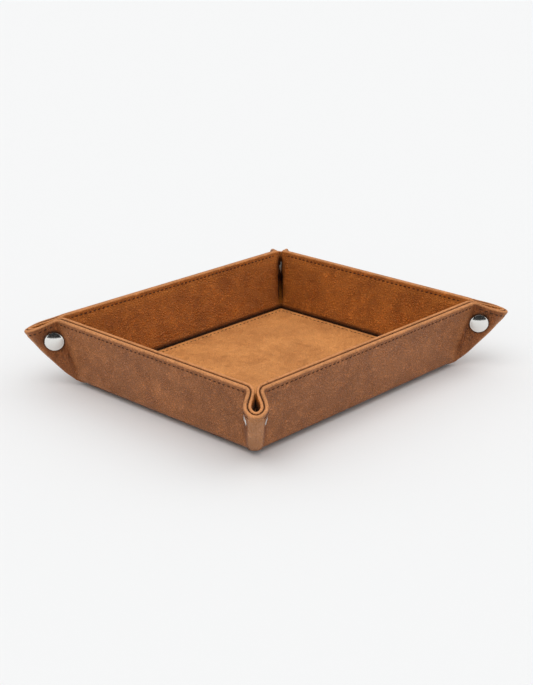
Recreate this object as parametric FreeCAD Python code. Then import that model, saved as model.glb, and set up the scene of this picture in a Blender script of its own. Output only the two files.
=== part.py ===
import FreeCAD, Part
import math
import os

# Snap-corner leather tray: a stiffened base, four leaning walls and four pinched corner ears,
# each ear held closed by a two-part snap fastener. Millimetres, +Z up, origin at the middle of
# the underside. X is the long axis, Y the short one, and the front wall is the long one at -Y.

os.makedirs("parts", exist_ok=True)

# ---- driving dimensions ----
RIM_Z = 37.0            # top of the outer rim roll above the table
CORNER_X = 79.56        # where the outer wall plane would meet the table, from the middle, along X
CORNER_Y = 65.06        # the same along Y
LEAN = 12.0             # outward lean of the walls from the vertical, degrees
BEND_R = 6.0            # outer radius of the bend between base and wall
HINGE_H = 4.5           # height of the folding axis over the table, the same depth under each wall
COVER = 1.8             # outer leather cover, on walls and base
BOARD = 1.2             # stiffener board between cover and lining
LINING = 1.8            # lining leather of the walls
PAD = 2.0               # base lining panel with its padding
RIM_BAND = 4.6          # height of the turned rim band, which has no board
EAR_LAYER = 1.75        # each leather layer in the ears, at their head
EAR_HALF = 6.2          # half-width of a closed ear at its head
NECK_HALF = 4.6         # its half-width at the head where it leaves the walls
FOOT_SCALE = 0.45       # an ear narrows, and its leather is skived, to this share at its foot
SEAT_HALF = 4.35        # half-width of a closed ear at the snap
VALLEY_HALF = 3.6       # distance of the wall-to-ear crease from the corner's middle plane
FOLD_RISE = 40.0        # rise of the ear's folded edge over the table, degrees
FOLD_OUT = 2.5          # how far the rounded folded edge stands beyond its crease
EAR_FOOT, EAR_HEAD = 4.0, 46.0  # where an ear's surfaces start and end along its fold
HALF_GAP = 0.3          # clearance of each ear half to the corner's middle plane
CREASE_GAP = 0.25       # clearance each side of the wall-to-ear crease
SNAP_S, SNAP_Z = 14.5, 21.0    # snap centre in the middle plane, from the corner's folding point
CAP_R = 5.1             # snap cap radius
CAP_H = 1.6             # snap cap height
POST_R = 1.5            # hollow rivet that carries cap and snap part
FLATS = 20              # small turned pieces are made with this many flats

V = FreeCAD.Vector
lean = math.radians(LEAN)
rise = math.radians(FOLD_RISE)
half_turn = math.tan(math.radians((90.0 - LEAN) / 2.0))
hinge_x = CORNER_X - HINGE_H * half_turn        # folding axes of the short walls
hinge_y = CORNER_Y - HINGE_H * half_turn        # folding axes of the long walls
flat_x = CORNER_X - BEND_R * half_turn          # where the base's flat underside ends
flat_y = CORNER_Y - BEND_R * half_turn
Z_AXIS = V(0, 0, 1)
DIAG = V(1, 1, 0).normalize()                   # along the corner's middle plane, outwards
SIDE = V(1, -1, 0).normalize()                  # across it, towards the short wall's half
FOLD = DIAG * math.cos(rise) + Z_AXIS * math.sin(rise)
FOLD_UNDER = DIAG * math.sin(rise) - Z_AXIS * math.cos(rise)
WALL_OUT = V(math.cos(lean), 0, -math.sin(lean))
WALL_UP = V(math.sin(lean), 0, math.cos(lean))
slope = math.sqrt(2.0) * math.tan(lean)         # run of the wall-to-ear crease for each mm of rise
VALLEY = (DIAG * slope + Z_AXIS).normalize()
valley_s0 = math.sqrt(2.0) * HINGE_H / math.cos(lean) - VALLEY_HALF
VALLEY_POINT = DIAG * valley_s0 + SIDE * VALLEY_HALF
rim_z = RIM_Z - HINGE_H
splay = math.atan(EAR_HALF * (1.0 - FOOT_SCALE) / (EAR_HEAD - EAR_FOOT))    # of each ear half, with its snap
SNAP_AXIS = SIDE * math.cos(splay) - FOLD * math.sin(splay)
SNAP_ALONG = FOLD * math.cos(splay) + SIDE * math.sin(splay)
rim_u = (rim_z + HINGE_H * math.sin(lean)) / math.cos(lean)


def save(shape, name):
    shape = shape.removeSplitter() if len(shape.Solids) == 1 else shape
    solid = shape.Solids[0] if len(shape.Solids) == 1 else shape
    assert solid.isValid() and solid.Volume > 0.5, name
    solid.exportStep("parts/" + name + ".step")
    return solid


def face_of(points, place):
    """A face from 2-D points; a triple (point, point, point) marks an arc through its middle."""
    edges = []
    last = None
    for item in points:
        if isinstance(item, tuple) and isinstance(item[0], tuple):
            a, b, c = (place(*q) for q in item)
            if last is not None and (last - a).Length > 1e-6:
                edges.append(Part.LineSegment(last, a).toShape())
            edges.append(Part.Arc(a, b, c).toShape())
            last = c
            first = a if len(edges) == 1 else first
        else:
            q = place(*item)
            if last is None:
                first = q
            elif (last - q).Length > 1e-6:
                edges.append(Part.LineSegment(last, q).toShape())
            last = q
    if (last - first).Length > 1e-6:
        edges.append(Part.LineSegment(last, first).toShape())
    return Part.Face(Part.Wire(edges))


def wall_place(n, u):
    """Section of the +X wall: n outwards and u upwards from its folding axis, at Y = 0."""
    return WALL_OUT * n + WALL_UP * u


def beyond(point, normal, size=400.0):
    """A large block on the side of a plane that its normal points to."""
    block = Part.makeBox(size, size, size, V(-size / 2, -size / 2, 0))
    turn = FreeCAD.Rotation(Z_AXIS, normal)
    block.Placement = FreeCAD.Placement(point, turn)
    return block


def wall_layer(section, hinge_along, hinge_across, side_gap=0.0):
    """Extrude a wall section past both corners and trim it along the creases."""
    run = hinge_along + 30.0
    solid = face_of(section, wall_place).extrude(V(0, 2 * run, 0))
    solid.translate(V(0, -run, 0))
    corner = V(0, hinge_along, 0)
    along_normal = WALL_OUT.cross(VALLEY).normalize()
    if along_normal.y < 0:
        along_normal = along_normal * -1
    tools = [beyond(corner + VALLEY_POINT - along_normal * (CREASE_GAP + side_gap), along_normal),
             beyond(corner + SIDE * HALF_GAP, SIDE * -1)]
    tools += [tool.mirror(V(0, 0, 0), V(0, 1, 0)) for tool in tools]
    solid = solid.cut(tools)
    solid.translate(V(hinge_across, 0, HINGE_H))
    return solid


def wall_sections():
    outer, mid, inner = HINGE_H, HINGE_H - COVER, HINGE_H - COVER - BOARD
    face_in = inner - LINING
    seam = (outer + face_in) / 2.0
    r = (outer - seam) / 2.0
    foot = (BEND_R - HINGE_H) * half_turn + 0.3
    band = rim_u - RIM_BAND
    cover = [(outer, foot), (outer, rim_u - r),
             ((outer, rim_u - r), (outer - r, rim_u), (seam, rim_u - r)),
             (seam, band), (mid, band - 0.6), (mid, foot)]
    board = [(mid, foot + 0.2), (mid, band - 0.6), (inner, band - 0.6), (inner, foot + 0.2)]
    lining = [(inner, 0.1), (inner, band - 0.6), (seam, band), (seam, rim_u - r),
              ((seam, rim_u - r), (face_in + r, rim_u), (face_in, rim_u - r)),
              (face_in, 0.1)]
    return cover, board, lining


def ear_curve(depth):
    """Half an ear in section across its fold, as points at a depth under the outer face."""
    start, wide, end = -24.0, -14.0, -4.0
    neck, half = NECK_HALF, EAR_HALF
    points = []
    for i in range(5):
        w = i / 4.0
        p = start + (wide - start) * w
        blend = w * w * (3 - 2 * w)
        d_blend = 6 * w * (1 - w) / (wide - start)
        y = neck + (half - neck) * blend
        dy = (half - neck) * d_blend
        size = math.hypot(1.0, dy)
        points.append((p + depth * dy / size, y - depth / size))
    a, b = FOLD_OUT - end, half
    for i in range(6):
        t = math.radians(90.0 - 18.0 * i)
        nx, ny = math.cos(t) / a, math.sin(t) / b
        size = math.hypot(nx, ny)
        points.append((end + a * math.cos(t) - depth * nx / size, b * math.sin(t) - depth * ny / size))
    return points


def ear_outline():
    """The ear in the corner's middle plane: crease, dipping rim, rounded tip and folded edge."""
    low = -2.0
    left = valley_s0 + CREASE_GAP
    corner = (left + slope * rim_z, rim_z)
    return [(left + slope * low, low), corner,
            (corner, (20.6, 30.0), (27.6, 26.6)),
            ((27.6, 26.6), (29.2, 25.0), (28.9, 22.6)),
            ((28.9, 22.6), (26.5, 19.2), (22.6, 15.7)),
            (26.0, 13.0), (8.0, low)]


def faceted(rings):
    """A closed solid of flat faces through rings of the same number of points."""
    faces = [Part.Face(Part.makePolygon(ring + ring[:1])) for ring in (rings[0], rings[-1])]
    for near, far in zip(rings, rings[1:]):
        for i in range(len(near)):
            j = (i + 1) % len(near)
            faces.append(Part.Face(Part.makePolygon([near[i], near[j], far[j], far[i], near[i]])))
    solid = Part.Solid(Part.Shell(faces))
    if solid.Volume < 0:
        solid.reverse()
    return solid


def ear_layer(depth_out, depth_in, outline):
    """One leather layer of half an ear, which widens from its foot to its rim."""
    section = ear_curve(depth_out) + ear_curve(depth_in)[::-1]
    rings = []
    for along, scale in ((EAR_FOOT, FOOT_SCALE), (EAR_HEAD, 1.0)):
        rings.append([FOLD_UNDER * (FOLD_OUT + (p - FOLD_OUT) * scale) + SIDE * (y * scale) + FOLD * along
                      for p, y in section])
    return faceted(rings).common(outline)


def snap_piece(rings, flats=FLATS):
    """A solid through rings (radius, distance from the middle plane) about the snap's axis."""
    centre = DIAG * SNAP_S + Z_AXIS * SNAP_Z
    steps = [2 * math.pi * i / flats for i in range(flats)]
    return faceted([[centre + SNAP_AXIS * y + (FOLD_UNDER * math.cos(a) + SNAP_ALONG * math.sin(a)) * radius
                     for a in steps] for radius, y in rings])


def corner_pieces():
    """One half of the +X +Y corner's ear, folding point at the origin, with both snap sets."""
    outline = face_of(ear_outline(), lambda s, z: DIAG * s + Z_AXIS * z + SIDE * HALF_GAP)
    outline = outline.extrude(SIDE * 8.0)
    hole = snap_piece([(POST_R + 0.1, -1.0), (POST_R + 0.1, 8.0)], 12)
    cover = ear_layer(0.0, EAR_LAYER, outline).cut(hole)
    lining = ear_layer(EAR_LAYER, 2 * EAR_LAYER, outline).cut(hole)
    seat = 1.4
    under = SEAT_HALF + 0.15
    top = under + CAP_H
    cap = snap_piece([(CAP_R * 0.45, top), (CAP_R * 0.8, top - 0.4), (CAP_R, under + 0.6), (CAP_R - 0.1, under)])
    cap = cap.fuse(snap_piece([(POST_R, under + 0.3), (POST_R, seat - 0.3)]))
    socket = snap_piece([(4.2, seat), (4.2, seat - 0.3), (3.5, seat - 0.45), (3.5, 0.3)])
    socket = socket.cut(snap_piece([(POST_R, seat + 1), (POST_R, seat - 0.3)]))
    socket = socket.cut(snap_piece([(2.2, seat - 0.3), (2.2, 0.0)]))
    stud = snap_piece([(4.0, seat), (4.0, seat - 0.35), (1.4, seat - 0.6), (1.4, 0.1), (1.7, -0.3), (1.3, -0.7)])
    stud = stud.cut(snap_piece([(POST_R, seat + 1), (POST_R, seat - 0.3)]))
    return {"cover": cover, "lining": lining,
            "cap_socket": cap, "socket": socket, "cap_stud": cap, "stud": stud}


def crease_strip(along, across):
    """The cover's bend under the +X wall with half of each rounded base corner."""
    section = []
    for radius, chords in ((BEND_R, 5), (COVER - BEND_R, 3)):
        steps = [i / chords for i in range(chords + 1)]
        angles = [-math.pi / 2 + (math.pi / 2 - lean) * (w if radius > 0 else 1 - w) for w in steps]
        section += [(abs(radius) * math.cos(a), abs(radius) * math.sin(a)) for a in angles]
    face = face_of(section, lambda x, z: V(x, 0, z))
    straight = face.extrude(V(0, 2 * along, 0))
    straight.translate(V(0, -along, 0))
    end = face.revolve(V(0, 0, 0), Z_AXIS, 44.6)
    end.translate(V(0, along, 0))
    other = end.mirror(V(0, 0, 0), V(0, 1, 0))
    strip = straight.fuse([end, other])
    strip.translate(V(across, 0, BEND_R))
    return strip


def rounded_plate(half_x, half_y, radius, low, high, crown=0.0):
    plate = Part.makeBox(2 * half_x, 2 * half_y, high - low, V(-half_x, -half_y, low))
    upright = [e for e in plate.Edges if abs(e.Vertexes[0].Z - e.Vertexes[-1].Z) > 0.5 * (high - low)]
    plate = plate.makeFillet(radius, upright)
    if crown:
        rim = [e for e in plate.Edges if e.BoundBox.ZMin > high - 1e-4]
        plate = plate.makeChamfer(crown, rim)
    return plate


def turned(shape, degrees):
    shape = shape.copy()
    shape.rotate(V(0, 0, 0), Z_AXIS, degrees)
    return shape


# ---- base ----
save(rounded_plate(flat_x, flat_y, 0.8, 0.0, COVER), "base_cover")
save(rounded_plate(flat_x - 0.4, flat_y - 0.4, 2.0, COVER, COVER + BOARD), "base_board")
save(rounded_plate(hinge_x - 0.9, hinge_y - 0.9, 3.0, COVER + BOARD, COVER + BOARD + PAD, 0.7), "base_lining")

# ---- walls and crease strips ----
WALLS = {"right": (0, hinge_y, hinge_x, flat_y, flat_x), "back": (90, hinge_x, hinge_y, flat_x, flat_y),
         "left": (180, hinge_y, hinge_x, flat_y, flat_x), "front": (270, hinge_x, hinge_y, flat_x, flat_y)}
for name, (angle, along, across, flat_along, flat_across) in WALLS.items():
    cover, board, lining = wall_sections()
    save(turned(wall_layer(cover, along, across), angle), name + "_wall_cover")
    save(turned(wall_layer(board, along, across, 1.5), angle), name + "_wall_board")
    save(turned(wall_layer(lining, along, across), angle), name + "_wall_lining")
    save(turned(crease_strip(flat_along, flat_across), angle), name + "_crease_strip")

# ---- ears and snaps ----
pieces = corner_pieces()
CORNERS = {"front_left": (-1, -1), "back_left": (-1, 1), "front_right": (1, -1), "back_right": (1, 1)}
for corner, (sx, sy) in CORNERS.items():
    for half in ("side", "end"):
        for kind, shape in pieces.items():
            if half == "end" and kind in ("cap_stud", "stud"):
                continue
            if half == "side" and kind in ("cap_socket", "socket"):
                continue
            piece = shape.copy()
            if half == "side":
                piece = piece.mirror(V(0, 0, 0), SIDE)
            if sx < 0:
                piece = piece.mirror(V(0, 0, 0), V(1, 0, 0))
            if sy < 0:
                piece = piece.mirror(V(0, 0, 0), V(0, 1, 0))
            piece.translate(V(sx * hinge_x, sy * hinge_y, HINGE_H))
            wall = ("left" if sx < 0 else "right") if half == "end" else ("front" if sy < 0 else "back")
            if kind in ("cover", "lining"):
                label = corner + "_ear_" + wall + "_" + kind
            else:
                label = corner + "_snap_" + kind.replace("cap_", "cap_with_")
            save(piece, label)
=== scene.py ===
import math
from collections import namedtuple

import bmesh
import bpy
import numpy as np
from bpy.props import FloatProperty, FloatVectorProperty, PointerProperty
from bpy.types import Operator, Panel, PropertyGroup
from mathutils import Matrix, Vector


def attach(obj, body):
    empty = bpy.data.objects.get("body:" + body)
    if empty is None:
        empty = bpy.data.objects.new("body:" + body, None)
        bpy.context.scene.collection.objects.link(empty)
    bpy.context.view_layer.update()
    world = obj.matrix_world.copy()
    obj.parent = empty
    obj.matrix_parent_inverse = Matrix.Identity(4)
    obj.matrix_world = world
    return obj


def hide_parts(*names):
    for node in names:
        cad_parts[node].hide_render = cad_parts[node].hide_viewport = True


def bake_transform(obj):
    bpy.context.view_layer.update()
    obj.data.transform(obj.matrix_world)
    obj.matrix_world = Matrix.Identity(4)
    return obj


bl_info = {
    "name": "Cufflink tray",
    "version": (1, 0, 0),
    "blender": (4, 5, 0),
    "location": "View3D > Sidebar > Tray",
    "description": "Dresses a snap-corner leather cufflink tray: leather skins, stitching, snaps and stage",
    "category": "Object",
}

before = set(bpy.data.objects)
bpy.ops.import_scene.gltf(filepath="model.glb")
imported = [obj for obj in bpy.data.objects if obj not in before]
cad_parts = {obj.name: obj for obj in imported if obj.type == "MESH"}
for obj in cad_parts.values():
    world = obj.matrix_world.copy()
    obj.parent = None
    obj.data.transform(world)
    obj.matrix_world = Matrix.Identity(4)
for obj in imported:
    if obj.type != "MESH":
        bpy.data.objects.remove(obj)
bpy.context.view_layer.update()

# ---- the tray's own sizes, millimetres, as in the solid model ----
MM = 0.001
ROOT2 = math.sqrt(2)
RIM_Z, CORNER_X, CORNER_Y = 37.0, 79.56, 65.06
LEAN = math.radians(12.0)
BEND_R, HINGE_H = 6.0, 4.5          # outer bend at the base, height of the folding axes
COVER, BOARD, LINING = 1.8, 1.2, 1.8
ROLL = 2.2                          # thickness of each leather at the rim, where its edge is rolled
RIM_BAND, BAND_FADE = 6.0, 1.8      # the band under the rim that has no board, and how softly it begins
HALF_TURN = math.tan((math.pi / 2 - LEAN) / 2)
HINGE_X, HINGE_Y = CORNER_X - HINGE_H * HALF_TURN, CORNER_Y - HINGE_H * HALF_TURN
RIM_U = (RIM_Z - HINGE_H + HINGE_H * math.sin(LEAN)) / math.cos(LEAN)
FOOT_U = (BEND_R - HINGE_H) * HALF_TURN
WALL_OUT = np.array([math.cos(LEAN), 0, -math.sin(LEAN)])
WALL_UP = np.array([math.sin(LEAN), 0, math.cos(LEAN)])
ALONG = np.array([0, 1.0, 0])
DIAG = np.array([1, 1, 0]) / ROOT2
SIDE = np.array([1, -1, 0]) / ROOT2
UP = np.array([0, 0, 1.0])
VALLEY = DIAG * ROOT2 * math.tan(LEAN) + UP     # the fold between a wall and its ear
VALLEY = VALLEY / np.linalg.norm(VALLEY)
SNAP_S, SNAP_Z, SNAP_SEAT, SPLAY = 14.5, 21.0, 4.05, math.radians(4.6)
CAP_R, CAP_H, POST_R = 5.1, 1.6, 1.5
PAD_TOP, PAD_MARGIN = 5.0, 0.9      # top of the base panel, and how far it stays from the folding axes
PAD_STITCH = 3.6                    # stitch line inside the panel's edge
SEAM = 5.0                          # how far along a wall its ear's leather reaches before the meshes' seam
FILLET = 1.0                        # round of the fold between wall and ear
GAP = 0.03                          # between two leathers that lie on each other
HALF_GAP = 0.012                    # from the corner's middle plane to each half of an ear
STITCH_DROP = 2.6                   # stitch line below the rim
STITCH_SINK = 0.16                  # depth of the stitches in the leather
STITCH_SIZE = (2.1, 0.85, 0.5)      # length, width and height of one stitch
STITCH_SLANT = 0.16                 # radians that a stitch leans off its line
PITCH = 3.0                         # stitch length and gap together

# rows up the wall, from the bend to the rim's roll
ROWS = np.array([FOOT_U, 2.4, 4.0, 5.6, *np.linspace(7.2, 28.2, 18), 28.9, 29.6, RIM_U - 3.4, RIM_U - 3.0,
                 RIM_U - STITCH_DROP, RIM_U - 2.1, RIM_U - 1.6, RIM_U - ROLL / 2])
SHARE = (ROWS - ROWS[0]) / (ROWS[-1] - ROWS[0])
STITCH_ROW = len(ROWS) - 4
ROLL_STEPS = 9                      # points on the rim's roll
BEND_STEPS = 14                     # points from the underside up to the lowest row
BEND_FULLNESS = 0.40                # 0.78 is a round bend, less is flatter
WALL_COLUMNS, BEND_COLUMNS, CREASE_COLUMNS = 41, 31, 25
# columns from the wall (-2) through the valley's round (-1 to 0, where the neck is) to the folded edge (1)
EAR_ALONG = np.concatenate([np.linspace(-2, -1, 6)[:-1], np.linspace(-1, 0, 11), np.linspace(0, 1, 29)[1:]])
ON_WALL, EAR_NECK = 5, 15

CORNERS = {"front_left": (-1, -1), "back_left": (-1, 1), "front_right": (1, -1), "back_right": (1, 1)}
WALLS = {"right": (1, 0), "back": (0, 1), "left": (-1, 0), "front": (0, -1)}

# an ear's half-width from its neck (0) to its folded edge (1), at its rim, half-way and at its foot
TAU = [0, .0424, .115, .2145, .329, .437, .591, .776, 1]
WIDTH_RIM = [4.2, 4.1, 4.5, 5.25, 5.7, 5.55, 4.5, 2.6, 0]
WIDTH_MID = [4.75, 4.7, 4.5, 4.3, 4.2, 4.1, 3.8, 2.75, 0]
WIDTH_FOOT = [3.6, 3.55, 3.5, 3.4, 3.2, 2.95, 2.4, 1.4, 0]
# the folded edge in the corner's middle plane, from the base corner to the ear's tip
FOLD_S = [4.4, 7.3, 9.8, 13.6, 17.5, 21.4, 25.2, 28.0, 29.4]
FOLD_Z = [-1.6, 0.8, 3.0, 6.7, 10.6, 14.6, 19.2, 22.4, 24.6]
# how each ear of this soft tray differs: its tip further out and up, the crown of its rim, half its open
# slit, and its snap further out
Ear = namedtuple("Ear", "out up crown slit snap")
EARS = {"front_left": Ear(0.2, 0.6, 0.0, 0.0, 0.0), "back_left": Ear(0.0, 0.0, 0.0, 0.4, -0.3),
        "front_right": Ear(1.3, 0.8, 0.0, 0.4, 0.7), "back_right": Ear(0.4, 0.6, 1.5, 1.15, 0.0)}
PLAIN_EAR = Ear(0.0, 0.0, 0.0, 0.0, 0.0)
PRESSED_R, PRESSED_FADE = 5.1, 3.2  # an ear is pressed flat round its snap, and how softly that ends

# the camera of the photograph: degrees round and up, metres away and off its line of sight
CAMERA_TURN, CAMERA_RISE, CAMERA_AWAY = -46.913, 20.289, 0.67555
CAMERA_RIGHT, CAMERA_ABOVE = -0.001644, 0.016942
LENS, SENSOR = 66.57, 36.0
# name, direction it comes from, spread in degrees, strength, whether metal reflects it
LAMPS = (("key", (-0.72, -0.2, 1.6), 50, 1.02, False), ("fill", (0.9, -0.7, 1.5), 60, 0.42, True))
SKY = ((0.0, 0.88), (1.0, 1.06), (0.34, 0.88), (0.52, 0.94), (0.66, 1.0))      # height in the sky, brightness
SKY_STRENGTH, BACKDROP = 0.82, 0.93


# ---------------------------------------------------------------- curves and surfaces
def smooth(x):
    """0 below 0, 1 above 1, and a soft step between."""
    x = np.clip(x, 0.0, 1.0)
    return x * x * (3 - 2 * x)


def hill(x, width):
    """1 at 0, falling softly to both sides."""
    return np.exp(-(x / width) ** 2)


def hermite(x, xs, ys):
    """A smooth curve through the points (xs, ys)."""
    xs, ys = np.asarray(xs, float), np.asarray(ys, float)
    d = np.diff(ys) / np.diff(xs)
    m = np.concatenate([[d[0]], (d[1:] + d[:-1]) / 2, [d[-1]]])
    i = np.clip(np.searchsorted(xs, x) - 1, 0, len(xs) - 2)
    h = xs[i + 1] - xs[i]
    t = (x - xs[i]) / h
    return ((2 * t ** 3 - 3 * t ** 2 + 1) * ys[i] + (t ** 3 - 2 * t ** 2 + t) * h * m[i]
            + (-2 * t ** 3 + 3 * t ** 2) * ys[i + 1] + (t ** 3 - t ** 2) * h * m[i + 1])


def run_along(points):
    """How far along a line of points each one lies."""
    return np.concatenate([[0], np.cumsum(np.linalg.norm(np.diff(points, axis=0), axis=1))])


def wall_face(u):
    """A wall's outer face at height u up the wall: out from the folding axis, and up."""
    return HINGE_H * math.cos(LEAN) + u * math.sin(LEAN), u * math.cos(LEAN) - HINGE_H * math.sin(LEAN)


def ear_width(tau, share):
    """An ear's half-width at tau along its row, at a share of its height."""
    low, mid, top = (hermite(tau, TAU, w) for w in (WIDTH_FOOT, WIDTH_MID, WIDTH_RIM))
    near = smooth(share / 0.22)
    far = smooth((share - 0.66) / 0.30)
    return low * (1 - near) + near * (mid * (1 - far) + top * far)


def fold_point(share, ear):
    """The folded edge (s, z) at a share of its length."""
    run = run_along(np.stack([FOLD_S, FOLD_Z], axis=1))
    lift = max(0.0, (share - 0.35) / 0.65) ** 1.5
    at = share * run[-1]
    return hermite(at, run, FOLD_S) + ear.out * lift, hermite(at, run, FOLD_Z) + ear.up * lift


def ear_row(share, u, ear):
    """Points of an ear's outer face at one level, from the wall to the folded edge: (s, side, z)."""
    x, z0 = wall_face(u)
    w0 = ear_width(0.0, share)
    s0 = ROOT2 * x - w0
    s1, z1 = fold_point(share, ear)
    length = s1 - s0
    fillet = min(FILLET, 0.35 * length + 0.2)
    first = 1 - math.sqrt(1 - fillet / length)
    points = []
    for a in EAR_ALONG:
        if a <= -1:
            d = (fillet + (-1 - a) * (SEAM - fillet)) / ROOT2
            points.append((s0 - d, w0 + d, z0))
            continue
        tau = first + (1 - first) * max(a, 0.0)
        out = 1 - (1 - tau) ** 2
        crown = ear.crown * share ** 3 * math.sin(math.pi * min(1.0, out * 1.25)) ** 2
        s, z = s0 + length * out, z0 + (z1 - z0) * out ** (1.3 - 0.3 * share) + crown
        from_s, from_z = s - SNAP_S, z - SNAP_Z
        pressed = 1 - smooth((math.hypot(from_s - ear.snap, from_z) - PRESSED_R) / PRESSED_FADE)
        flat = SNAP_SEAT - 0.3 + math.tan(SPLAY) * (from_s * 0.77 + from_z * 0.64)
        w = ear_width(tau, share)
        w = w * (1 - pressed) + min(w, flat) * pressed
        if a < 0:                                    # the valley's round, a curve between wall and ear
            t = a + 1
            start = np.array([s0 - fillet / ROOT2, w0 + fillet / ROOT2, z0])
            bend, end = np.array([s0, w0, z0]), np.array([s, w, z])
            points.append(tuple(start * (1 - t) ** 2 + bend * 2 * t * (1 - t) + end * t * t))
        else:
            points.append((s, w, z))
    return np.array([DIAG * s + SIDE * w + UP * z for s, w, z in points])


def ear_grid(ear):
    """Outer face of half an ear from the +X wall at the +X +Y corner, with outward normals and the way up."""
    grid = np.stack([ear_row(share, u, ear) for share, u in zip(SHARE, ROWS)], axis=1)   # columns, rows, 3
    across = np.gradient(grid, axis=0)
    upwards = np.gradient(grid, axis=1)
    across[-1] = -SIDE
    normal = np.cross(upwards, across)
    normal /= np.linalg.norm(normal, axis=2, keepdims=True)
    if normal[0, 5] @ WALL_OUT < 0:
        normal = -normal
    normal[:ON_WALL] = WALL_OUT
    upwards /= np.linalg.norm(upwards, axis=2, keepdims=True)
    return grid, normal, upwards


def bend_profile(top, normal, reach, run, lift):
    """A soft profile from the flat underside up to a point of the wall's or ear's lowest row."""
    knee = np.array([top[0], top[1], lift - HINGE_H]) - normal * reach
    foot = knee - normal * run
    points = []
    for t in np.linspace(0, 1, BEND_STEPS):
        w = 2 * BEND_FULLNESS * t * (1 - t)
        points.append((foot * (1 - t) ** 2 + knee * w + top * t * t) / ((1 - t) ** 2 + w + t * t))
    return points


def corner_bend():
    """Profiles of the bend from a wall's end round to the corner's middle plane, in the corner's frame."""
    row = ear_row(0.0, ROWS[0], PLAIN_EAR)
    run = run_along(row)
    rise = HINGE_H + row[0, 2]
    profiles = []
    for point, r in zip(row, run):
        turn = smooth((r - run[1]) / (run[-1] - run[1]))
        azimuth = turn * math.pi / 4
        normal = np.array([math.cos(azimuth), math.sin(azimuth), 0])
        reach = rise * math.tan(LEAN) * (1 - turn) + 2.8 * turn
        flat = rise / math.cos(LEAN) * (1 - turn) + 1.4 * turn
        profiles.append(bend_profile(point, normal, reach, flat, 1.1 + 0.4 * turn ** 2))
    return np.array(profiles)


def wall_depths():
    """Depths under the outer face, for each row: the cover's end, the lining's beginning and its end."""
    band = smooth((ROWS - (RIM_U - RIM_BAND)) / BAND_FADE)
    thick = COVER + BOARD + LINING
    return (COVER + (ROLL - COVER) * band, COVER + BOARD + (ROLL - COVER - BOARD) * band,
            thick + (2 * ROLL - thick) * band)


# how far the leather is drawn in along the stitch line, and the painted shade at a lining's foot, for each
# row
STITCH_DIP = 0.22 * hill(ROWS - (RIM_U - STITCH_DROP), 0.45)
FOOT_SHADE = 0.9 * (1 - smooth((ROWS - ROWS[0] + 0.3) / 1.8))


# ---------------------------------------------------------------- places and meshes
def at_corner(points, corner, swap):
    """From the +X +Y corner's own frame to the row frame, in metres; swap gives the ear's other half."""
    sx, sy = CORNERS[corner]
    p = np.array(points, float)
    if swap:
        p = p[..., [1, 0, 2]]
    return (p * [sx, sy, 1] + [sx * HINGE_X, sy * HINGE_Y, HINGE_H]) * MM


def ear_wall(corner, swap):
    """The wall that this half of the corner's ear grows from."""
    front_or_back, left_or_right = corner.split("_")
    return front_or_back if swap else left_or_right


def at_wall(points, name):
    """From the +X wall's frame (folding axis at the origin, Y along it) to the row frame, in metres."""
    dx, dy = WALLS[name]
    p = np.array(points, float)
    reach = HINGE_X if dx else HINGE_Y
    x, y, z = p[..., 0] + reach, p[..., 1], p[..., 2] + HINGE_H
    return np.stack([x * dx - y * dy, x * dy + y * dx, z], axis=-1) * MM


def half_length(name):
    """Half the length of a wall's folding axis."""
    return HINGE_Y if WALLS[name][0] else HINGE_X


def deselect():
    bpy.ops.object.select_all(action="DESELECT")


def select_faces(obj, wanted):
    """In edit mode, select just the faces whose normal the test wants."""
    bpy.ops.mesh.select_all(action="DESELECT")
    bm = bmesh.from_edit_mesh(obj.data)
    for f in bm.faces:
        f.select_set(wanted(f.normal))
    bmesh.update_edit_mesh(obj.data)


def take_mesh(obj):
    """The corners and faces of a finished object, which is then removed."""
    verts = np.array([v.co[:] for v in obj.data.vertices])
    faces = [tuple(p.vertices) for p in obj.data.polygons]
    bpy.data.objects.remove(obj, do_unlink=True)
    return verts, faces


def new_object(name, verts, faces, material, marks=None, smooth_angle=50):
    """A piece with its faces outwards, its material and its marks, which the material reads."""
    mesh = bpy.data.meshes.new(name)
    mesh.from_pydata([tuple(v) for v in verts], [], faces)
    mesh.validate()
    bm = bmesh.new()
    bm.from_mesh(mesh)
    if bm.calc_volume(signed=True) < 0:
        bmesh.ops.reverse_faces(bm, faces=bm.faces)
    bm.to_mesh(mesh)
    bm.free()
    for key, values in (marks or {}).items():
        layer = mesh.attributes.new(key, "FLOAT", "POINT")
        layer.data.foreach_set("value", np.asarray(values, dtype=np.float32).ravel())
    mesh.materials.append(material)
    obj = bpy.data.objects.new(name, mesh)
    bpy.context.scene.collection.objects.link(obj)
    deselect()
    obj.select_set(True)
    bpy.context.view_layer.objects.active = obj
    bpy.ops.object.shade_smooth_by_angle(angle=math.radians(smooth_angle))
    return obj


def new_skin(name, rings, rows, material, marks):
    """A closed skin from one section loop for each column, with rows points on its outer and inner face."""
    columns, size = rings.shape[:2]
    faces = []
    for c in range(columns - 1):
        for m in range(size):
            n = (m + 1) % size
            faces.append((c * size + m, c * size + n, (c + 1) * size + n, (c + 1) * size + m))
    for base in (0, (columns - 1) * size):
        for j in range(rows - 1):
            faces.append((base + j, base + j + 1, base + size - 2 - j, base + size - 1 - j))
        faces.append(tuple(base + k for k in range(rows - 1, size - rows + 1)))
    return new_object(name, rings.reshape(-1, 3), faces, material, marks)


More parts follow.
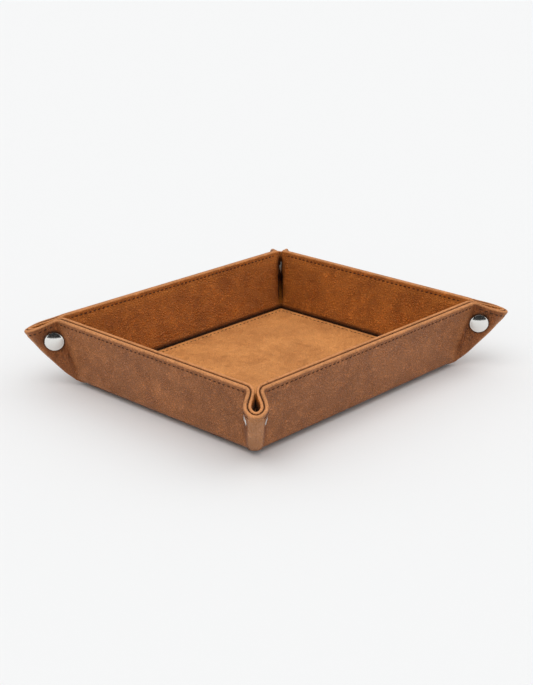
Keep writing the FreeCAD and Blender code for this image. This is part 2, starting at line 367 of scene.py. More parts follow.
def loops(outer, normal, upwards, depth_out, depth_in, is_cover):
    """Each column's section loop, outer face, rolled rim and inner face; and the marks of rim and groove:
    painted light on the rim, painted shade in the groove.
    """
    columns, rows = outer.shape[:2]
    a = outer - normal * depth_out[..., None]
    b = outer - normal * depth_in[..., None]
    middle, radius = (a[:, -1] + b[:, -1]) / 2, np.linalg.norm(a[:, -1] - b[:, -1], axis=1) / 2
    turns = math.pi * np.arange(1, ROLL_STEPS + 1) / (ROLL_STEPS + 1)
    out, up = normal[:, -1], upwards[:, -1]
    roll = [middle + (out * math.cos(t) + up * math.sin(t)) * radius[:, None] for t in turns]
    rings = np.concatenate([a, np.stack(roll, axis=1), b[:, ::-1]], axis=1)
    from_open = turns if is_cover else math.pi - turns         # the groove lies between cover and lining
    # the rim mark peaks at the roll's top, which faces up: painted light from above on the rims' paler
    # leather
    on_rim = np.maximum(0.0, np.sin(np.minimum(from_open + 0.1, math.pi)))
    # the groove's side of each roll is marked for painted shade
    in_groove = np.clip((from_open - 2.0) / 0.6, 0.0, 1.0)
    rim = np.concatenate([np.zeros(rows), on_rim, np.zeros(rows)])
    groove = np.concatenate([np.full(rows, 0.0 if is_cover else 1.0), in_groove,
                             np.full(rows, 1.0 if is_cover else 0.0)])
    return rings, {"rim": np.tile(rim, columns), "groove": np.tile(groove, columns)}


def on_outer(field):
    """A mark on the outer face of section loops, half as strong on the roll and nothing inside."""
    return np.concatenate([field, np.repeat(field[:, -1:] * 0.5, ROLL_STEPS, axis=1), field * 0], axis=1)


def on_inner(field):
    """A mark on the inner face of section loops alone."""
    outside = np.zeros((len(field), len(ROWS) + ROLL_STEPS))
    return np.concatenate([outside, field[:, ::-1]], axis=1)


# ---------------------------------------------------------------- materials
class Sock:
    """A node socket that adds Math nodes when it is used in an expression."""

    def __init__(self, shader, socket):
        self.shader, self.socket = shader, socket

    def math(self, operation, *others, swap=False, **settings):
        values = [self.socket, *others]
        if swap:
            values = values[::-1]
        settings["operation"] = operation
        return self.shader.node("ShaderNodeMath", settings, dict(enumerate(values)))

    def __add__(self, o): return self.math("ADD", o)
    def __radd__(self, o): return self.math("ADD", o)
    def __sub__(self, o): return self.math("SUBTRACT", o)
    def __rsub__(self, o): return self.math("SUBTRACT", o, swap=True)
    def __mul__(self, o): return self.math("MULTIPLY", o)
    def __rmul__(self, o): return self.math("MULTIPLY", o)

    def clamp(self):
        return self.math("ADD", 0.0, use_clamp=True)

    def spread(self, gain, middle=0.5):
        """More contrast round a half."""
        return ((self - 0.5) * gain + middle).clamp()


class Shader:
    """The nodes of a material or of the world."""

    def __init__(self, owner):
        self.owner = owner
        owner.use_nodes = True
        self.tree = owner.node_tree
        self.tree.nodes.clear()

    def node(self, kind, settings=None, inputs=None, output=0):
        """Add a node: its settings first, then the values or links of its sockets."""
        made = self.tree.nodes.new(kind)
        for key, value in (settings or {}).items():
            if key == "stops":
                ramp = made.color_ramp
                for i, (at, colour) in enumerate(value):
                    stop = ramp.elements[i] if i < 2 else ramp.elements.new(at)
                    stop.position, stop.color = at, colour
            else:
                setattr(made, key, value)
        for key, value in (inputs or {}).items():
            value = value.socket if isinstance(value, Sock) else value
            if isinstance(value, bpy.types.NodeSocket):
                self.tree.links.new(value, made.inputs[key])
            else:
                made.inputs[key].default_value = value
        return Sock(self, made.outputs[output]) if made.outputs else None

    def coords(self):
        return self.node("ShaderNodeTexCoord", output="Object")

    def noise(self, where, scale, detail=2.0, rough=0.5, distortion=0.0, output=0):
        return self.node("ShaderNodeTexNoise", {}, {"Vector": where, "Scale": scale, "Detail": detail,
                                                    "Roughness": rough, "Distortion": distortion}, output)

    def warped(self, where, scale, amount):
        """Places pushed about by coloured noise, so that cells look less even."""
        push = self.noise(where, scale, 1.0, output=1)
        push = self.node("ShaderNodeVectorMath", {"operation": "SCALE"}, {0: push, 3: amount})
        return self.node("ShaderNodeVectorMath", {"operation": "ADD"}, {0: where, 1: push})

    def cells(self, where, scale):
        """How far inside its cell a place is: 0 in the furrows between the grain's pebbles."""
        return self.node("ShaderNodeTexVoronoi", {"feature": "DISTANCE_TO_EDGE"},
                         {"Vector": where, "Scale": scale})

    def mix(self, factor, a, b):
        return self.node("ShaderNodeMix", {"data_type": "RGBA"}, {0: factor, 6: a, 7: b}, output=2)

    def attribute(self, name):
        return self.node("ShaderNodeAttribute", {"attribute_name": name}, output=2)

    def bump(self, height, distance, strength=1.0):
        return self.node("ShaderNodeBump", {}, {"Strength": strength, "Distance": distance, "Height": height})

    def finish(self, **inputs):
        """End a material with its Principled shader."""
        inputs = {key.replace("_", " "): value for key, value in inputs.items()}
        shader = self.node("ShaderNodeBsdfPrincipled", {}, inputs)
        self.node("ShaderNodeOutputMaterial", {}, {0: shader})
        return self.owner


def new_shader(name):
    return Shader(bpy.data.materials.new(name))


def rgba(colour, red=1.0, green=None, blue=None):
    """A colour for a socket, times one gain or a gain for each channel."""
    gains = (red, red if green is None else green, red if blue is None else blue)
    return tuple(min(1.0, c * gain) for c, gain in zip(colour, gains)) + (1.0,)


# painted shade: the dark brown in the rims' groove and the near-black in the hollows
GROOVE_SHADE, HOLLOW_SHADE = (0.150, 0.052, 0.016), (0.016, 0.006, 0.003)


def leather(name, colour, rim_colour, grain, gloss, mottle=1.0):
    """Pebbled tan leather with cloudy colour, paler on the rolled rims partly as painted light from above,
    and with painted shade in the folds.
    """
    s = new_shader(name)
    where = s.coords()
    waves = s.noise(where, 260.0)
    clouds = s.noise(where, 34.0, 4.0, 0.62, 0.5)
    patches = s.noise(where, 95.0, 3.0, 0.55, 0.3)
    fine = s.noise(where, 1400.0, 3.0, 0.6)
    stretched = s.node("ShaderNodeMapping", {}, {"Vector": where, "Scale": (1.0, 1.0, 0.16)})
    lines = s.noise(stretched, 950.0, 2.0, 0.5, 0.6)
    warped = s.warped(where, 160.0, 0.0035)
    large, small = s.cells(warped, 740.0), s.cells(warped, 1300.0)
    furrow, crack = (1.0 - large * 4.0).clamp(), (1.0 - small * 4.5).clamp()
    rim, groove = s.attribute("rim"), s.attribute("groove")
    wrinkle, valley = s.attribute("wrinkle"), s.attribute("valley")
    # clouds and patches of the dye, then the grain; the pebbles' tops and the fine specks are lightened, a
    # painted highlight
    tone = s.mix(clouds.spread(2.2 * mottle), rgba(colour, 0.76), rgba(colour, 1.16))
    tone = s.mix(patches.spread(3.0, 0.3) * (0.32 * mottle), tone, rgba(colour, 0.80, 0.62, 0.50))
    tone = s.mix(furrow * (0.52 * grain), tone, rgba(colour, 0.34))
    tone = s.mix(crack * (0.24 * grain), tone, rgba(colour, 0.45))
    tone = s.mix(((large - 0.3) * 4.0).clamp() * (0.12 * grain), tone, rgba(colour, 1.15, 1.30, 1.7))
    tone = s.mix(((fine - 0.55) * 3.0).clamp() * 0.05, tone, rgba(colour, 1.4))
    # folds and wrinkles with painted shade; the ears' worn edges, paler also as painted light; the rolled
    # rims, paler partly as painted light from above; painted shade in their groove, round the snaps and in
    # the dark places
    # the valley's dark line and the ear's flank are darkened: painted shade
    tone = s.mix(valley * 0.72, tone, rgba(colour, 0.42, 0.31, 0.18))
    # the wrinkle lines are darkened: painted shade in the creases, over their bump
    tone = s.mix(wrinkle * ((0.50 - lines) * 7.0).clamp() * 0.75, tone, rgba(colour, 0.16))
    # the folded edge is paler: partly worn leather, partly painted light where the edge faces the light
    tone = s.mix(s.attribute("edge") * 0.78, tone, rgba(rim_colour, 0.95))
    # the rolled rims are paler and brightest on top: partly their own leather, partly painted light from
    # above
    tone = s.mix(rim * 0.90, tone, s.mix(clouds.spread(1.6), rgba(rim_colour, 0.85), rgba(rim_colour, 1.12)))
    # the groove between the rolls is darkened: painted shade
    tone = s.mix(groove * 0.95, tone, rgba(GROOVE_SHADE))
    # the leather round each snap cap is darkened: painted shadow
    tone = s.mix(s.attribute("cap_shadow") * 0.9, tone, rgba(colour, 0.12))
    # hollows, necks, the linings' feet and the bends' undersides are darkened: painted shade
    tone = s.mix(s.attribute("deep_shade") * 0.95, tone, rgba(HOLLOW_SHADE))
    rough = gloss + (fine - 0.5) * 0.2 + furrow * 0.15 + groove * 0.4
    strength = (0.35 + (patches - 0.35) * 2.2).clamp()
    relief = (large * 2.6).clamp() * strength * grain + (small * 3.4).clamp() * (0.34 * grain)
    height = relief * (1.0 - rim * 0.6) + fine * 0.16 + waves * 0.9 + wrinkle * lines * 1.8
    return s.finish(Base_Color=tone, Roughness=rough.clamp(), Normal=s.bump(height, 0.0014), IOR=1.42)


def waxed_thread(colour):
    s = new_shader("stitching_thread")
    twist = s.noise(s.coords(), 2600.0)
    tone = s.mix(twist, rgba(colour, 0.6), rgba(colour, 1.5))
    bump = s.bump(twist, 0.0001, 0.5)
    return s.finish(Base_Color=tone, Roughness=0.6, Normal=bump, Specular_IOR_Level=0.15)


def nickel(name, colour, rough, metallic=1.0):
    s = new_shader(name)
    where = s.coords()
    brushed, scratch = s.noise(where, 300.0, 4.0, 0.6), s.noise(where, 2400.0)
    value = rough + (brushed - 0.5) * 0.08 + (scratch - 0.5) * 0.05
    tone = s.mix(brushed, rgba(colour, 0.94), rgba(colour, 1.04))
    return s.finish(Base_Color=tone, Metallic=metallic, Roughness=value.clamp())


def fibre_board(colour):
    s = new_shader("fibre_board")
    fibre = s.noise(s.coords(), 800.0, 4.0, 0.7, 1.0)
    return s.finish(Base_Color=s.mix(fibre, rgba(colour, 0.8), rgba(colour, 1.2)), Roughness=0.9)


def studio_world(light):
    """A wide soft light from above, before a white backdrop that the camera and polished metal see."""
    w = Shader(bpy.data.worlds.new("studio"))
    direction = w.node("ShaderNodeTexCoord", output="Generated")
    height = w.node("ShaderNodeSeparateXYZ", {}, {0: direction}, output="Z")
    stops = [(at, (value, value, value, 1.0)) for at, value in SKY]
    glow = w.node("ShaderNodeValToRGB", {"stops": stops}, {0: height})
    camera, glossy, through = (w.node("ShaderNodeLightPath", output="Is " + ray + " Ray")
                               for ray in ("Camera", "Glossy", "Transmission"))
    seen = camera.math("MAXIMUM", glossy).math("MAXIMUM", through)
    even = w.node("ShaderNodeBackground", {}, {0: glow, 1: SKY_STRENGTH * light})
    backdrop = w.node("ShaderNodeBackground", {}, {0: rgba([BACKDROP] * 3)})
    both = w.node("ShaderNodeMixShader", {}, {0: seen, 1: even, 2: backdrop})
    w.node("ShaderNodeOutputWorld", {}, {0: both})
    return w.owner


MATERIALS = {}


# ---------------------------------------------------------------- settings
class TrayLeather(PropertyGroup):
    cover: FloatVectorProperty(name="Cover", description="Colour of the outer leather", subtype="COLOR",
                               size=3, default=(0.662, 0.236, 0.072))
    lining: FloatVectorProperty(name="Lining", description="Colour of the walls' lining leather",
                                subtype="COLOR", size=3, default=(0.655, 0.198, 0.0255))
    panel: FloatVectorProperty(name="Base panel", description="Colour of the base's lining panel",
                               subtype="COLOR", size=3, default=(0.910, 0.366, 0.108))
    # the rims' colour carries painted light from above as well as their paler leather
    rim: FloatVectorProperty(name="Rim", description="Colour of the rolled rims", subtype="COLOR",
                             size=3, default=(0.760, 0.325, 0.120))
    thread: FloatVectorProperty(name="Thread", description="Colour of the stitching", subtype="COLOR",
                                size=3, default=(0.075, 0.028, 0.011))
    grain: FloatProperty(name="Grain", description="Strength of the pebbled grain",
                         default=1.0, min=0.0, max=2.0)


class TraySnaps(PropertyGroup):
    nickel: FloatVectorProperty(name="Nickel", description="Colour of the snap caps", subtype="COLOR",
                                size=3, default=(0.80, 0.79, 0.76))
    cap_radius: FloatProperty(name="Cap radius", description="Radius of a snap cap", subtype="DISTANCE",
                              default=CAP_R * MM)


class TrayStage(PropertyGroup):
    floor: FloatVectorProperty(name="Floor", description="Colour of the floor", subtype="COLOR",
                               size=3, default=(0.768, 0.773, 0.775))
    light: FloatProperty(name="Light", description="Share of the plain studio light",
                         default=1.0, min=0.1, max=3.0)


# ---------------------------------------------------------------- pieces
def dress(obj, body, slot, *nodes):
    """Say which body a piece rides on, and hide the solid pieces that it stands for; its slot is not used."""
    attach(obj, body)
    if nodes:
        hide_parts(*nodes)


class TRAY_OT_materials(Operator):
    """Make the leathers, thread, nickel and board"""
    bl_idname = "tray.materials"
    bl_label = "Materials"

    def execute(self, context):
        hide, snaps = context.scene.tray_leather, context.scene.tray_snaps
        MATERIALS["cover"] = leather("cover_leather", hide.cover, hide.rim, hide.grain, 0.42)
        MATERIALS["lining"] = leather("lining_leather", hide.lining, hide.rim, hide.grain * 0.8, 0.45, 1.2)
        MATERIALS["panel"] = leather("base_leather", hide.panel, hide.rim, hide.grain * 0.45, 0.40, 0.8)
        MATERIALS["thread"] = waxed_thread(hide.thread)
        MATERIALS["cap"] = nickel("polished_nickel", snaps.nickel, 0.12)
        MATERIALS["snap"] = nickel("snap_nickel", snaps.nickel, 0.35, 0.55)
        MATERIALS["board"] = fibre_board((0.35, 0.29, 0.22))
        for name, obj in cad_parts.items():
            kind = "board" if name.endswith("board") else "snap" if "_snap_" in name else "cover"
            for slot in obj.material_slots:
                slot.material = MATERIALS[kind]
            if not obj.material_slots:
                obj.data.materials.append(MATERIALS[kind])
        return {"FINISHED"}


class TRAY_OT_panel(Operator):
    """Make the base's lining panel with its soft rounded edge and sunk stitch line"""
    bl_idname = "tray.panel"
    bl_label = "Base panel"

    def execute(self, context):
        length, width = 2 * (HINGE_X - PAD_MARGIN) * MM, 2 * (HINGE_Y - PAD_MARGIN) * MM
        low, high = (COVER + BOARD) * MM, PAD_TOP * MM
        deselect()
        bpy.ops.mesh.primitive_cube_add(size=1, location=(0, 0, (low + high) / 2),
                                        scale=(length, width, high - low))
        obj = context.object
        obj.name = "base_lining_skin"
        bpy.ops.object.transform_apply(location=True, rotation=True, scale=True)
        bpy.ops.object.mode_set(mode="EDIT")
        bpy.ops.mesh.select_all(action="DESELECT")
        bm = bmesh.from_edit_mesh(obj.data)
        for e in bm.edges:
            a, b = e.verts
            e.select_set(abs(a.co.z - b.co.z) > 0.5 * (high - low))
        bmesh.update_edit_mesh(obj.data)
        bpy.ops.mesh.bevel(offset=3.0 * MM, segments=8, affect="EDGES")
        select_faces(obj, lambda normal: normal.z > 0.9)
        # each step inwards and how far it climbs: the soft edge, the margin, then the sunk stitch line
        for inwards, climb in ((0.15, 0.42), (0.35, 0.26), (0.5, 0.12), (1.6, 0.05), (0.5, 0.0),
                               (0.35, -0.22), (0.35, 0.16), (0.6, 0.06)):
            bpy.ops.mesh.inset(thickness=inwards * MM, depth=0.0)
            bpy.ops.transform.translate(value=(0, 0, climb * MM))
        bpy.ops.object.mode_set(mode="OBJECT")
        top = max(v.co.z for v in obj.data.vertices)
        for v in obj.data.vertices:
            if v.co.z > low + 1.0 * MM:
                v.co.z += high - top
        bpy.ops.object.shade_smooth_by_angle(angle=math.radians(50))
        obj.data.materials.append(MATERIALS["panel"])
        dress(obj, "base", "base_leather", "base_lining")
        return {"FINISHED"}


class TRAY_OT_bends(Operator):
    """Make the leather bends between base and walls, outside and in the inner crease"""
    bl_idname = "tray.bends"
    bl_label = "Bends"

    def execute(self, context):
        corner = corner_bend()
        # the bend's underside near the floor and its hidden inner face are darkened: painted shade
        underside = 1 - smooth((np.linspace(0, 1, BEND_STEPS) - 0.12) / 0.24)
        dark = np.concatenate([underside, np.ones(BEND_STEPS)])
        # the inner crease's section, from under the wall's lining to under the base panel's edge
        section = np.array([(0.0, 2.6), (0.0, 1.5), (0.0, 0.7), (-0.25, -0.2), (-0.9, -0.7), (-3.0, -0.8),
                            (-3.0, -1.5), (-1.2, -1.5), (0.3, -0.9), (1.1, 0.4), (1.3, 2.6)])
        # the inner crease is darkened: painted shade
        crease_shade = [.3, .7, 1, 1, 1, 1, 1, 1, 1, 1, .3]
        for name in WALLS:
            along = half_length(name)
            end = corner + [0, along, 0]
            length = end[0, 0, 1]
            steps = np.linspace(-length, length, BEND_COLUMNS)[1:-1]
            straight = [corner[0] * [1, 0, 1] + ALONG * v for v in steps]
            outer = np.concatenate([(end * [1, -1, 1])[::-1], np.array(straight), end])
            normal = np.cross(np.gradient(outer, axis=1), np.gradient(outer, axis=0))
            normal /= np.linalg.norm(normal, axis=2, keepdims=True)
            if normal[len(outer) // 2, 5, 0] < 0:
                normal = -normal
            inner = outer - normal * (COVER - GAP)
            inner[..., 2] = np.maximum(inner[..., 2], outer[..., 2] + 0.05)     # never under the outer face
            rings = np.concatenate([outer, inner[:, ::-1]], axis=1)
            for sign in (1, -1):                     # both ends stop at the corner's middle plane
                over = rings[..., 1] * sign - along - rings[..., 0] + 0.05
                rings[..., 1] -= sign * np.maximum(over, 0)
            obj = new_skin(name + "_bend_skin", at_wall(rings, name), BEND_STEPS, MATERIALS["cover"],
                           {"deep_shade": np.tile(dark, len(rings))})
            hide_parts(name + "_crease_strip")
            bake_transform(obj)
            x, z = section.T
            rings = np.array([np.stack([x, t * (along + x - GAP), z], axis=1)
                              for t in np.linspace(-1, 1, CREASE_COLUMNS)])
            obj = new_skin(name + "_inner_crease", at_wall(rings, name), 1, MATERIALS["lining"],
                           {"deep_shade": np.tile(crease_shade, len(rings))})
            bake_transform(obj)
        return {"FINISHED"}


class TRAY_OT_walls(Operator):
    """Make the four walls' outer leather and lining with their rolled rims"""
    bl_idname = "tray.walls"
    bl_label = "Walls"

    def execute(self, context):
        # how far each row goes past the folding axis's end
        reach = wall_face(ROWS)[0] - ROOT2 * ear_width(0.0, SHARE) - SEAM
        split, back, full = wall_depths()
        for name in WALLS:
            v = np.linspace(-1, 1, WALL_COLUMNS)[:, None] * (half_length(name) + reach)
            outer = WALL_OUT * HINGE_H + WALL_UP * ROWS[:, None] + ALONG * v[..., None]
            normal, up = np.broadcast_to(WALL_OUT, outer.shape), np.broadcast_to(WALL_UP, outer.shape)
            for part, start, end in (("cover", STITCH_DIP, split - GAP),
                                     ("lining", back + GAP, full - STITCH_DIP)):
                rings, marks = loops(outer, normal, up, start, end, part == "cover")
                if part == "lining":
                    # painted shade at the lining's foot
                    marks["deep_shade"] = on_inner(np.tile(FOOT_SHADE, (WALL_COLUMNS, 1)))
                obj = new_skin(name + "_" + part + "_skin", at_wall(rings, name), len(ROWS),
                               MATERIALS[part], marks)
                dress(obj, name + "_wall", part + "_leather", name + "_wall_" + part)
        return {"FINISHED"}


class TRAY_OT_ears(Operator):
    """Make the pinched corner ears, each of two folded halves with cover and lining"""
    bl_idname = "tray.ears"
    bl_label = "Ears"

    def execute(self, context):
        along, share = EAR_ALONG[:, None], SHARE[None, :]
        # depths of the leathers: as in the wall near it, as in a pinched fold further out
        wall_split, wall_back, wall_full = wall_depths()
        near = 1 - smooth((along + 1.5) / 1.6)
        neck = hill(along - 0.1, 0.35)
        split = wall_split * near + (1.9 + 0.3 * neck * smooth((share - 0.85) / 0.1)) * (1 - near)
        back = wall_back * near + split * (1 - near)
        thick = hermite(SHARE, [0, .5, .8, .9, 1], [3.0, 2.9, 3.0, 3.5, 3.75])
        # painted shade inside the hollow, darkest at the neck, and at the wall lining's foot
        below_rim = 1 - smooth((share - 0.90) / 0.07)
        hollow = below_rim * (0.25 * smooth((share - 0.04) / 0.2) + 0.55 * smooth((share - 0.6) / 0.2))
        hollow = smooth((along + 0.25) / 0.25) * hollow
        at_neck = smooth((along + 0.12) / 0.12) * (1 - smooth((along - 0.25) / 0.25))
        at_neck = at_neck * below_rim * smooth((share - 0.05) / 0.12)
        foot = FOOT_SHADE * (1 - smooth((along + 1.4) / 0.4))
        deep_shade = on_inner(np.maximum(np.maximum(hollow, at_neck), foot))
        # outside: wrinkles at the neck with painted shade in their lines, the valley's dark line and its
        # shaded flank as painted shade, the worn folded edge, paler also as painted light
        wrinkle = hill(along - 0.02, 0.34) * smooth((share - 0.10) / 0.3)
        flank = smooth((along + 0.35) / 0.3) * (1 - smooth((along - 0.50) / 0.2))
        beside = FILLET * np.clip(-along, 0, 1) + (SEAM - FILLET) * np.clip(-1 - along, 0, 1)
        valley = np.maximum(hill(beside, 1.1) * (along < 0.1), 0.75 * flank)
        valley = valley * (0.55 + 0.45 * smooth(share / 0.35))
        # the folded edge's pale mark: worn leather and painted light
        edge = smooth((along - 0.60) / 0.14) * np.ones_like(share)
        # the blend across the valley, from the wall's side to the ear's side
        across = DIAG * math.cos(math.pi / 8) - SIDE * math.sin(math.pi / 8)
        across = across - VALLEY * (across @ VALLEY)
        across /= np.linalg.norm(across)
        for corner, ear in EARS.items():
            grid, normal, up = ear_grid(ear)
            snap_away = np.hypot(grid @ DIAG - SNAP_S - ear.snap, grid @ UP - SNAP_Z)
            # the mark round each snap cap is a painted shadow
            outside = {"wrinkle": wrinkle, "valley": valley, "edge": edge,
                       "cap_shadow": 1 - smooth((snap_away - 5.0) / 1.3)}
            opening = ear.slit * hermite(SHARE, [0, .2, .8, 1], [.8, 1, 1, .6])
            opening = opening + 0.3 * smooth((SHARE - .94) / .06)
            slit = np.maximum(3.0, grid[EAR_NECK] @ SIDE - opening)
            full = wall_full * near + (thick * (1 - neck) + slit * neck) * (1 - near)
            full = np.maximum(full, back + 0.4)
            for swap in (False, True):
                wall = ear_wall(corner, swap)
                body = corner + "_ear_" + wall
                for part, start, end in (("cover", STITCH_DIP, split - GAP), ("lining", back + GAP, full)):
                    rings, marks = loops(grid, normal, up, start, end, part == "cover")
                    rings = rings + SIDE * np.maximum(HALF_GAP - rings @ SIDE, 0)[..., None]
                    if part == "cover":
                        marks.update({key: on_outer(field) for key, field in outside.items()})
                    else:
                        marks["deep_shade"] = deep_shade
                    obj = new_skin(body + "_" + part + "_skin", at_corner(rings, corner, swap), len(ROWS),
                                   MATERIALS[part], marks)
                    part + "_leather"
                    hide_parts(body + "_" + part)
                    wall + "_wall"
                    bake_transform(obj)
        return {"FINISHED"}


def one_stitch(context):
    """A short plump stitch, 1 mm long, wide and high in its own mesh, lying along X with Z outwards."""
    deselect()
    bpy.ops.mesh.primitive_uv_sphere_add(segments=8, ring_count=6, radius=0.5)
    obj = context.object
    bpy.ops.transform.rotate(value=math.pi / 2, orient_axis="Y", center_override=(0, 0, 0))
    bpy.ops.object.transform_apply(location=True, rotation=True, scale=True)
    verts, faces = take_mesh(obj)
    verts[:, 0] = np.sign(verts[:, 0]) * np.abs(2 * verts[:, 0]) ** 0.8 / 2
    return verts, faces


def stitch_group(name, body, stitch, places):
    """Copies of the stitch at (point, along, outwards) in the row frame, metres, as one piece."""
    verts, faces = stitch
    local = verts * STITCH_SIZE
    local[:, 2] -= 0.9 * np.abs(2 * verts[:, 0]) ** 3 * STITCH_SIZE[2] / 2      # both ends dive in
    all_verts, all_faces = [], []
    for point, along, out in places:
        along = along / np.linalg.norm(along)
        out = out - along * (out @ along)
        out /= np.linalg.norm(out)
        leaning = along * math.cos(STITCH_SLANT) + np.cross(out, along) * math.sin(STITCH_SLANT)
        all_faces += [tuple(len(all_verts) + k for k in f) for f in faces]
        all_verts.extend(point + local @ np.array([leaning, np.cross(out, leaning), out]) * MM)
    dress(new_object(name, all_verts, all_faces, MATERIALS["thread"]), body, "thread")


class TRAY_OT_stitching(Operator):
    """Make the stitching along the rims, inside and out, on the ears and round the base panel"""
    bl_idname = "tray.stitching"
    bl_label = "Stitching"

    def execute(self, context):
        stitch = one_stitch(context)
        u = RIM_U - STITCH_DROP
        reach = wall_face(u)[0] - ROOT2 * ear_width(0.0, SHARE[STITCH_ROW])
        for name in WALLS:
            along = half_length(name) + reach
            places = []
            for depth, out, stop in ((STITCH_SINK, WALL_OUT, 1.6), (2 * ROLL - STITCH_SINK, -WALL_OUT, 3.6)):
                count = int(2 * (along - stop) / PITCH)
                for v in (np.arange(count + 1) - count / 2) * PITCH:
                    p = WALL_OUT * (HINGE_H - depth) + WALL_UP * u + ALONG * v
                    q = at_wall(np.array([p, p + ALONG, p + out]), name)
                    places.append((q[0], q[1] - q[0], q[2] - q[0]))
            stitch_group(name + "_wall_stitching", name + "_wall", stitch, places)
        first = int(np.argmin(np.abs(EAR_ALONG - 0.08)))
        for corner, ear in EARS.items():
            grid, normal, _ = ear_grid(ear)
            row, out = grid[first:, STITCH_ROW], normal[first:, STITCH_ROW]
            run = run_along(row)

            def on_row(values, d):
                return np.array([np.interp(d, run, values[:, k]) for k in range(3)])

            for swap in (False, True):
                places = []
                for d in np.arange(0.8, run[-1] - 2.4, PITCH):
                    p, ahead, n = on_row(row, d), on_row(row, d + 0.3), on_row(out, d)
                    sink = n * STITCH_SINK
                    q = at_corner(np.array([p - sink, ahead - sink, p + n]), corner, swap)
                    places.append((q[0], q[1] - q[0], q[2] - q[0]))
                body = corner + "_ear_" + ear_wall(corner, swap)
                stitch_group(body + "_stitching", body, stitch, places)
        half = np.array([HINGE_X, HINGE_Y]) - PAD_MARGIN - PAD_STITCH
        turns = [half * signs for signs in ((-1, -1), (1, -1), (1, 1), (-1, 1))]
        places = []
        for a, b in zip(turns, turns[1:] + turns[:1]):
            count = int(np.linalg.norm(b - a) / PITCH)
            for i in range(count):
                p = a + (b - a) * (i + 0.5) / count
                places.append((np.array([*p, PAD_TOP - 0.12]) * MM, np.array([*(b - a), 0.0]), UP))
        stitch_group("base_stitching", "base", stitch, places)
        return {"FINISHED"}


def one_cap(context, radius):
    """A domed cap with a rolled edge and its post, millimetres, with Z outwards; the radius is in metres."""
    edge_z = 0.35                                    # where the dome begins
    deselect()
    bpy.ops.mesh.primitive_uv_sphere_add(segments=56, ring_count=36, radius=1.0)
    obj = context.object
    obj.scale = (radius, radius, CAP_H * MM)
    bpy.ops.object.transform_apply(location=True, rotation=True, scale=True)
    bpy.ops.object.mode_set(mode="EDIT")
    bpy.ops.mesh.select_all(action="SELECT")
    bpy.ops.mesh.bisect(plane_co=(0, 0, edge_z * MM), plane_no=(0, 0, 1), clear_inner=True, use_fill=True)
    select_faces(obj, lambda normal: normal.z < -0.9)
    bpy.ops.mesh.extrude_region_move(TRANSFORM_OT_translate={"value": (0, 0, -0.25 * MM)})
    bpy.ops.mesh.inset(thickness=0.12 * MM)
    bpy.ops.mesh.extrude_region_move(TRANSFORM_OT_translate={"value": (0, 0, -0.10 * MM)})
    bpy.ops.mesh.inset(thickness=radius - 0.2 * MM - POST_R * MM)
    bpy.ops.mesh.extrude_region_move(TRANSFORM_OT_translate={"value": (0, 0, -2.2 * MM)})
    bpy.ops.object.mode_set(mode="OBJECT")
    verts, faces = take_mesh(obj)
    verts = verts / MM
    # the dome is part of a ball inside 0.9 of the radius, and rolls over outside it
    r = np.hypot(verts[:, 0], verts[:, 1]) / CAP_R
    dome = verts[:, 2] > edge_z - 0.01
    ball, rolled_from = 2 * CAP_R, 0.9 * CAP_R
    high = np.sqrt(ball ** 2 - np.minimum(r * CAP_R, rolled_from) ** 2)
    high = 0.55 + high - math.sqrt(ball ** 2 - rolled_from ** 2)
    roll = np.sqrt(np.maximum(0, 1 - (np.maximum(r - 0.9, 0) / 0.076) ** 2))
    verts[dome, 2] = (edge_z + (high - edge_z) * roll)[dome]
    return verts, faces


class TRAY_OT_snaps(Operator):
    """Make the domed snap caps on both faces of each ear"""
    bl_idname = "tray.snaps"
    bl_label = "Snap caps"

    def execute(self, context):
        verts, faces = one_cap(context, context.scene.tray_snaps.cap_radius)
        rise = math.radians(40)
        fold, under = DIAG * math.cos(rise) + UP * math.sin(rise), DIAG * math.sin(rise) - UP * math.cos(rise)
        axis_out = SIDE * math.cos(SPLAY) - fold * math.sin(SPLAY)
        axis_fold = fold * math.cos(SPLAY) + SIDE * math.sin(SPLAY)
        for corner, ear in EARS.items():
            centre = DIAG * (SNAP_S + ear.snap) + UP * SNAP_Z + axis_out * SNAP_SEAT
            placed = centre + verts @ np.array([under, axis_fold, axis_out])
            for swap, kind in ((False, "socket"), (True, "stud")):
                cap = new_object(corner + "_" + kind + "_cap", at_corner(placed, corner, swap), faces,
                                 MATERIALS["cap"], smooth_angle=40)
                dress(cap, corner + "_ear_" + ear_wall(corner, swap), "nickel",
                      corner + "_snap_cap_with_" + kind)
        return {"FINISHED"}


def look(direction):
    """The turn of a lamp or camera that looks in a direction."""
    return Vector(direction).to_track_quat("-Z", "Y").to_euler()


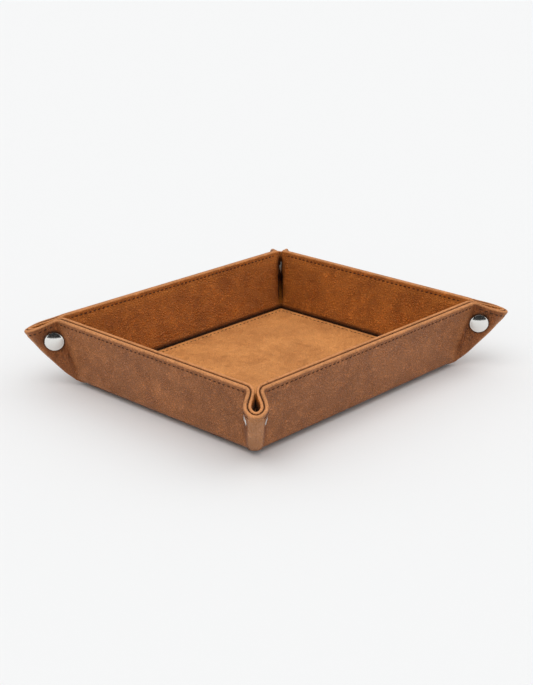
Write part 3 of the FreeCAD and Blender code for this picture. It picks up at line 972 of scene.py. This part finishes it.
class TRAY_OT_stage(Operator):
    """Make the pale floor, the soft studio light and the camera"""
    bl_idname = "tray.stage"
    bl_label = "Stage"

    def execute(self, context):
        scene, stage = context.scene, context.scene.tray_stage
        deselect()
        bpy.ops.mesh.primitive_circle_add(vertices=96, radius=9.0, fill_type="NGON", location=(0, 0, 0))
        floor = context.object
        floor.name = "floor"
        floor.data.materials.append(new_shader("pale_floor").finish(
            Base_Color=rgba(stage.floor), Roughness=0.9, Specular_IOR_Level=0.0))
        # dark screens round and over the set, which show only in polished metal
        deselect()
        bpy.ops.mesh.primitive_cylinder_add(vertices=64, radius=4.0, depth=4.1, end_fill_type="NOTHING",
                                            location=(0, 0, 2.1))
        screen = context.object
        screen.name = "dark_screen"
        bpy.ops.mesh.primitive_circle_add(vertices=64, radius=3.2, fill_type="NGON", location=(0, 0, 4.15))
        screen.select_set(True)
        context.view_layer.objects.active = screen
        bpy.ops.object.join()
        screen.data.materials.append(new_shader("dark_screen").finish(
            Base_Color=(0.03, 0.03, 0.03, 1.0), Roughness=1.0))
        screen.visible_camera = screen.visible_diffuse = screen.visible_shadow = False
        scene.world = studio_world(stage.light)
        for name, place, spread, power, in_metal in LAMPS:
            lamp = bpy.data.lights.new(name, "SUN")
            lamp.angle, lamp.energy = math.radians(spread), power * stage.light
            holder = bpy.data.objects.new(name, lamp)
            holder.rotation_euler = look(-np.array(place))
            holder.visible_glossy = in_metal
            scene.collection.objects.link(holder)
        turn, rise = math.radians(CAMERA_TURN), math.radians(CAMERA_RISE)
        back = np.array([math.sin(turn) * math.cos(rise), -math.cos(turn) * math.cos(rise), math.sin(rise)])
        right = np.array([math.cos(turn), math.sin(turn), 0])
        cam = bpy.data.cameras.new("camera")
        cam.sensor_width, cam.lens = SENSOR, LENS
        cam.clip_start, cam.clip_end = 0.01, 50.0
        holder = bpy.data.objects.new("camera", cam)
        holder.location = right * CAMERA_RIGHT + np.cross(back, right) * CAMERA_ABOVE + back * CAMERA_AWAY
        holder.rotation_euler = look(-back)
        scene.collection.objects.link(holder)
        scene.camera = holder
        scene.view_settings.view_transform = "Standard"
        return {"FINISHED"}


class TRAY_PT_sidebar(Panel):
    """Sizes, colours and the tools that build the tray"""
    bl_idname = "TRAY_PT_sidebar"
    bl_label = "Cufflink tray"
    bl_space_type = "VIEW_3D"
    bl_region_type = "UI"
    bl_category = "Tray"

    def draw(self, context):
        for group in (context.scene.tray_leather, context.scene.tray_snaps, context.scene.tray_stage):
            for key in group.__annotations__:
                self.layout.prop(group, key)
        for tool in TOOLS:
            self.layout.operator(tool.bl_idname)


GROUPS = (TrayLeather, TraySnaps, TrayStage)
TOOLS = (TRAY_OT_materials, TRAY_OT_panel, TRAY_OT_bends, TRAY_OT_walls, TRAY_OT_ears,
         TRAY_OT_stitching, TRAY_OT_snaps, TRAY_OT_stage)


def register():
    for cls in GROUPS + TOOLS + (TRAY_PT_sidebar,):
        bpy.utils.register_class(cls)
    bpy.types.Scene.tray_leather = PointerProperty(type=TrayLeather)
    bpy.types.Scene.tray_snaps = PointerProperty(type=TraySnaps)
    bpy.types.Scene.tray_stage = PointerProperty(type=TrayStage)


def unregister():
    del bpy.types.Scene.tray_stage
    del bpy.types.Scene.tray_snaps
    del bpy.types.Scene.tray_leather
    for cls in reversed(GROUPS + TOOLS + (TRAY_PT_sidebar,)):
        bpy.utils.unregister_class(cls)


def main():
    register()
    for tool in TOOLS:
        group, name = tool.bl_idname.split(".")
        getattr(getattr(bpy.ops, group), name)()


if __name__ == "__main__":
    main()
